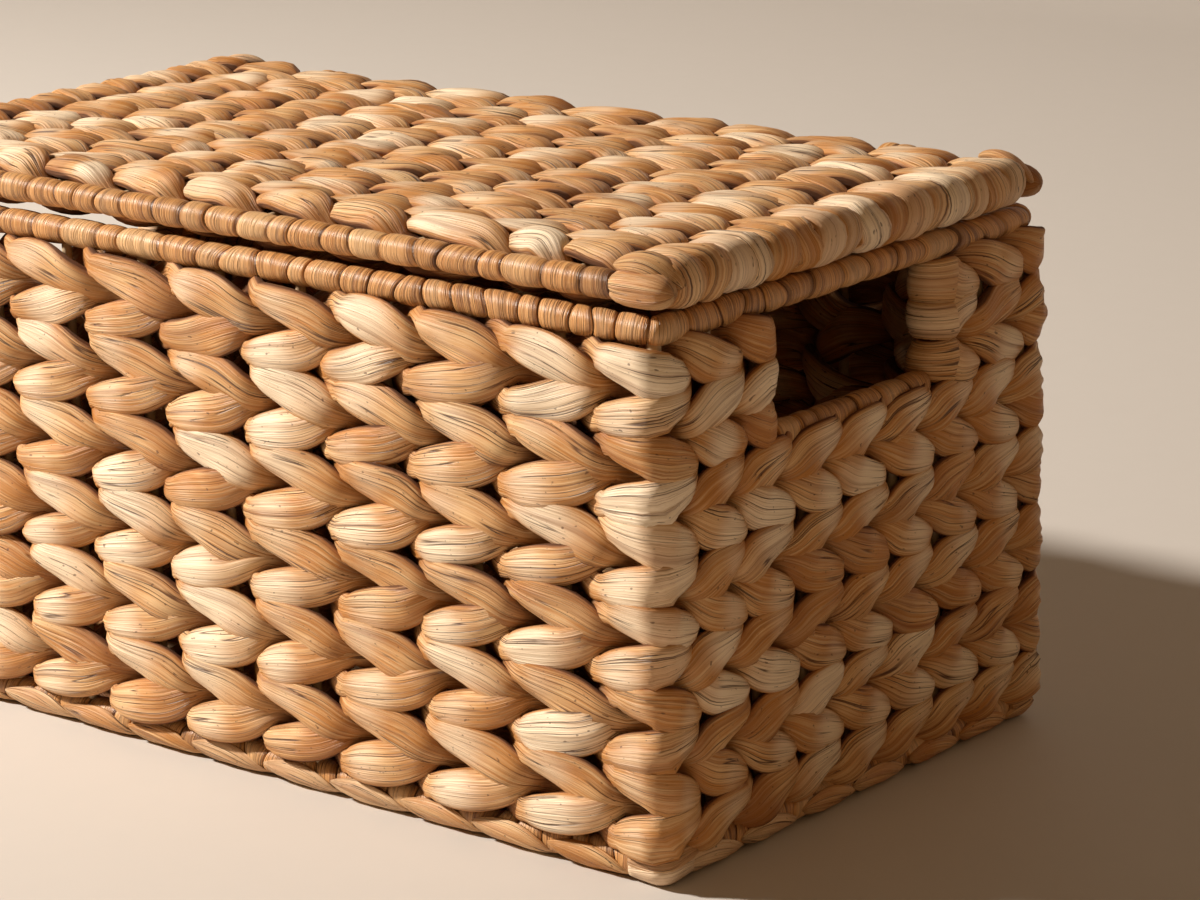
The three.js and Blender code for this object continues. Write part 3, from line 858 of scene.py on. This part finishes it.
core = winding(on_row(foot_mid), wall_lap, True, foot_core, foot_pitch, seeded(41))
make_piece("foot_winding", [core], *wound, "box", "base_border_wrap")
make_piece("foot_leaves", foot_leaves(seeded(42)), *woven, "box", "base_border_wrap")

# Hinge ties
# Two flat strands side by side go round the lid's rear bar and the rear rim, and hold the lid.
# They stay with the box, and the lid's bar turns inside them.
tie_low, tie_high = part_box("hinge_loop_right")
tie_x = (tie_low.x + tie_high.x) / 2
tie_half_width = (tie_high.x - tie_low.x) / 4
tie_out = (tie_high.y - tie_low.y) / 2
tie_radius = tie_out - 1.05 * mm
tie_thick = 0.95 * mm
tie_width = tie_half_width - 0.3 * mm
tie_lap = 17 * mm
tie_length = 80 * mm
bar_z = tie_high.z - tie_out


def tie_ring(x, draws):
    """A ring with two straight sides: half circles round the bar and the rim, joined by lines.
    The strand is a lens in section, and its middle wavers a little along X."""
    top, side = np.linspace(0, np.pi, 15), np.linspace(0, 1, 5)[1:-1]
    across, up = tie_radius * np.cos(top), tie_radius * np.sin(top)
    y = np.concatenate([across, -tie_radius + 0 * side, -across, tie_radius + 0 * side])
    z = np.concatenate([bar_z + up, bar_z + (rim_z - bar_z) * side,
                        rim_z - up, rim_z + (bar_z - rim_z) * side])
    lap = np.linspace(0, 2 * np.pi, len(y), endpoint=False)
    centre = np.stack([x + 0.25 * mm * np.sin(lap * 3 + draws.uniform(0, 6)), half_width + y, z], -1)
    away = np.stack([0 * y, y, z - np.clip(z, rim_z, bar_z)], -1)
    normal, across = frames_along(centre, away, True)
    angle = round_angles(16, np.pi)
    points = carried(centre, normal, across, tie_thick * np.cos(angle),
                     tie_width * signed_power(np.sin(angle), 0.8))
    length = np.linspace(0, tie_length, len(y) + 1) + draws.uniform(0, 3)
    spacing = np.linspace(0, tie_lap, len(angle) + 1)
    return Tube(points, True, chart_of(length, spacing), draws.normal(0, 0.4))


for number, (side, sign) in enumerate((("left", -1), ("right", 1))):
    draws = seeded(51 + number)
    rings = [tie_ring(sign * tie_x + part * tie_half_width, draws) for part in (-1, 1)]
    make_piece(f"hinge_tie_{side}", rings, *woven, "box", f"hinge_loop_{side}")

# Rods of the lid
# The lid's own wire frame, coated like the body's: two bars along the front and the rear, and
# twelve stakes across, welded to them.
lid_low, lid_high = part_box("lid_course_4")
lid_z = (lid_low.z + lid_high.z) / 2
lid_bays = 11
lid_stakes = np.linspace(-half_length, half_length, lid_bays + 1)
draws = seeded(61)
ends = [((-half_length, y, bar_z), (half_length, y, bar_z)) for y in (-half_width, half_width)]
ends += [((x, -half_width, lid_z), (x, half_width, lid_z)) for x in lid_stakes]
lid_rods = [round_rod(*pair, rod_radius, draws) for pair in ends]
make_piece("lid_rods", lid_rods, *coated, "lid", "lid_frame")

# Lid weave
# Pairs of strands from end to end of the lid. At each end the pair folds round the last stake,
# so the lid's ends are rounded. The first row rolls over towards the front bar, and beside the
# hinge ties the last row is pressed in.
lid_twist = Twist(6.1 * mm, 3.6 * mm, 0.45, -0.12, 0.1, 0.09)
lid_build = Build(7.9 * mm, 4.2 * mm, 3.4 * mm, 2.5 * mm)
lid_courses = 8
lid_swerve = 1.2 * mm
lid_spread = 0.45
front_roll = -0.35
tie_gap = 0.6 * mm
press_depth = 3 * mm
press_share = 0.35


def pressed_row(y, z):
    """A level row whose strands give way to the ties. Near a tie, what comes within press_depth
    of the free room's edge is pressed together, and nothing goes past that edge."""
    free = half_width - tie_out - tie_gap - y
    soft = free - press_depth

    def place(along, up, out):
        near = eased(2.2 - np.abs(np.abs(along) - tie_x) / (tie_half_width * 2 + 1.5 * mm))
        held = np.where(up > soft, soft + (up - free + press_depth) * press_share, up)
        return flat_row(y, z)(along, up + (np.minimum(held, free) - up) * near, out)

    return place


for number in range(1, lid_courses + 1):
    draws = seeded(300 + number)
    low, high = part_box(f"lid_course_{number}")
    pitch = (high.y - low.y) / 2
    strands = []
    for i, slant in enumerate((1, -1)):
        sway = draws.normal(0, lid_swerve, 2)
        shift = wander(draws, lid_bays, slant, lid_twist)
        roll = front_roll if number == 1 and i == 0 else 0.0
        row = folded_row(lid_stakes, slant, lid_twist, shift, sway, lid_spread * slant, roll=roll)
        lay = pressed_row if number == lid_courses and i else flat_row
        place = lay(low.y + (i + 0.5) * pitch, lid_z)
        strands.append(strand(row, place, draws, lid_build, i))
    make_piece(f"lid_weave_{number}", strands, *woven, "lid", f"lid_course_{number}")

# Bindings and corners of the lid
# Split stem is wound round the front and rear bars. At each corner a fat strand is wound over the
# bar's end, and a flat one is laid over this knot and down the lid's end.
wrap_low, wrap_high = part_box("lid_front_bar_wrap")
wrap_run = wrap_high.x - wrap_low.x
for number, (side, sign) in enumerate((("front", -1), ("rear", 1))):
    start = (sign * wrap_run / 2, sign * half_width, bar_z)
    bind_bar(f"lid_binding_{side}", "lid", f"lid_{side}_bar_wrap",
             start, (-sign, 0, 0), (0, sign, 0), wrap_run, seeded(71 + number))

knot_fill = 0.98
knot_lap = 7 * mm
cover_width = 5.9 * mm
cover_thick = 2.7 * mm
cover_lap = 6 * mm


def knot_cover(low, high, draws):
    """A flat strand laid over the knot's upper inner side: at u from 0 to 1 along it, it rises
    and then drops over the lid's end, w (1 - |2u - 1|^2.4)^0.5 wide to each side."""
    u = np.linspace(0.01, 0.99, 19)
    run = high.x - low.x + 3 * mm
    sign, inner = np.sign(low.x), -np.sign(low.y)
    x = (low.x if sign > 0 else high.x) + sign * (run * u ** 0.9 - 3.4 * mm)
    y = (low.y + high.y) / 2 + inner * (1.2 + 4.0 * u) * mm
    z = high.z + 0.3 * mm + (1.6 * np.sin(np.pi * np.clip(u * 1.3, 0, 1)) - 6 * u ** 4) * mm
    centre = np.stack([x, y, z], -1)
    away = np.stack([sign * 1.2 * u ** 4, -0.45 * inner + 0 * u, 1 + 0 * u], -1)
    normal, across = frames_along(centre, away, False)
    full = (1 - np.abs(2 * u - 1) ** 2.4) ** 0.5
    angle = round_angles(20, np.pi)
    fold = 1 - 0.25 * np.exp(-((angle - 1.9 * np.pi - draws.uniform(-0.5, 0.5)) / 0.16) ** 2)
    lift = (cover_thick * full)[:, None] * np.cos(angle) * fold
    width = (cover_width * full)[:, None] * np.sin(angle)
    points = carried(centre, normal, across, lift, width)
    around = cover_lap * np.append(angle, angle[0] + 2 * np.pi)
    chart = chart_of(np.append(u, 1) * run + draws.uniform(0, 3), around)
    return Tube(points, False, chart, draws.normal(0.3, 0.3))


def corner_knot(low, high, draws):
    """A barrel on the bar's line: at t along it, from -1 to 1, its radius falls off as
    (1 - t^2.8)^0.45, and folds run along it."""
    t = np.sin(np.linspace(-0.97, 0.97, 15) * np.pi / 2)
    inner = 2.2 * mm * np.sign(low.x)
    x = (low.x + high.x) / 2 - inner + t * ((high.x - low.x) / 2 + abs(inner))
    angle = round_angles(28, 0.5 * np.pi)
    size = knot_fill * (1 - np.abs(t) ** 2.8) ** 0.45
    fold = 1 - 0.09 * np.exp(-((angle - 1.9 - draws.uniform(0, 1)) / 0.12) ** 2)
    fold = fold - 0.03 * np.sin(5 * angle + draws.uniform(0, 6))
    y = (low.y + high.y) / 2 + size[:, None] * (high.y - low.y) / 2 * fold * np.cos(angle)
    z = (low.z + high.z) / 2 - size[:, None] * (high.z - low.z) / 2 * fold * np.sin(angle)
    points = np.stack(np.broadcast_arrays(x[:, None], y, z), -1)
    around = knot_lap * np.append(angle, angle[0] + 2 * np.pi)
    return Tube(points[::-1], False, chart_of(x, around), draws.normal(0, 0.3))


for number, name in enumerate(("front_left", "front_right", "rear_left", "rear_right")):
    low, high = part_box(f"lid_corner_knot_{name}")
    draws = seeded(81 + number)
    knot = [corner_knot(low, high, draws), knot_cover(low, high, draws)]
    make_piece(f"lid_knot_{name}", knot, *woven, "lid", f"lid_corner_knot_{name}")

# Floor and studio
# A pale floor that curves up into a backdrop, one small warm lamp high at the front left, and a
# weak wide fill at the right, so the front is lit and the right end lies in shade.
floor_reach = 4.0
backdrop_start = 1.5
backdrop_bend = 1.0
box_middle = (0.0, 0.0, 0.1)


def studio_floor():
    """A profile carried along X: level floor, a quarter circle, and an upright backdrop."""
    pale, grey = (0.62, 0.575, 0.53, 1), (0.55, 0.51, 0.465, 1)
    ground = Finish("studio_floor")
    colour = ground.blend(pale, (ground.step(ground.speckle(60.0, 3.0), 0.3, 0.7) * 0.06, grey))
    ground.set(Base_Color=colour, Roughness=0.75)
    bend = np.linspace(0, np.pi / 2, 13)
    top = backdrop_start + backdrop_bend
    y = np.concatenate([[-floor_reach], backdrop_start + backdrop_bend * np.sin(bend), [top]])
    z = np.concatenate([[0], backdrop_bend * (1 - np.cos(bend)), [floor_reach]])
    x, y = np.meshgrid([-floor_reach, 0, floor_reach], y, indexing="ij")
    spots = np.stack([x, y, z + 0 * x], -1).reshape(-1, 3)
    corner = np.arange(x.size).reshape(x.shape)
    quads = np.stack([corner[:-1, :-1], corner[1:, :-1], corner[1:, 1:], corner[:-1, 1:]], -1)
    mesh = bpy.data.meshes.new("studio_floor")
    mesh.from_pydata(spots.tolist(), [], quads.reshape(-1, 4).tolist())
    mesh.shade_smooth()
    mesh.materials.append(ground.material)
    new_object("studio_floor", mesh)


def soft_lamp(name, position, size, power, colour):
    """A round lamp that looks at the middle of the box."""
    lamp = bpy.data.lights.new(name, "AREA")
    lamp.shape = "DISK"
    lamp.size = size
    lamp.energy = power
    lamp.color = colour
    aim = (Vector(box_middle) - Vector(position)).to_track_quat("-Z", "Y").to_matrix()
    new_object(name, lamp).matrix_world = Matrix.Translation(position) @ aim.to_4x4()


studio_floor()
soft_lamp("key_lamp", (-2.1, -1.28, 1.72), 0.25, 159.0, (1.0, 0.94, 0.86))
soft_lamp("fill_lamp", (2.2, -1.2, 1.2), 1.5, 3.4, (1.0, 0.63, 0.3))
world = bpy.data.worlds.new("studio_air")
world.use_nodes = True
air = world.node_tree.nodes["Background"]
air.inputs["Color"].default_value = (1.0, 0.6, 0.27, 1)
air.inputs["Strength"].default_value = 0.12
bpy.context.scene.world = world

# Camera
# Where the photograph was taken from: to the right of the front, a little above the lid and
# turned slightly about the line of sight.
camera_azimuth = np.radians(39.60)
camera_pitch = np.radians(15.44)
camera_roll = np.radians(-1.19)
camera_position = (0.9927, -1.0945, 0.5052)
turns = ((camera_azimuth, "Z"), (np.pi / 2 - camera_pitch, "X"), (camera_roll, "Z"))
place = Matrix.Translation(camera_position)
for angle, axis in turns:
    place = place @ Matrix.Rotation(angle, 4, axis)
lens = bpy.data.cameras.new("camera")
lens.lens = 117.3
lens.sensor_width = 36.0
camera = new_object("camera", lens)
camera.matrix_world = place
bpy.context.scene.camera = camera
bpy.context.scene.view_settings.view_transform = "Standard"
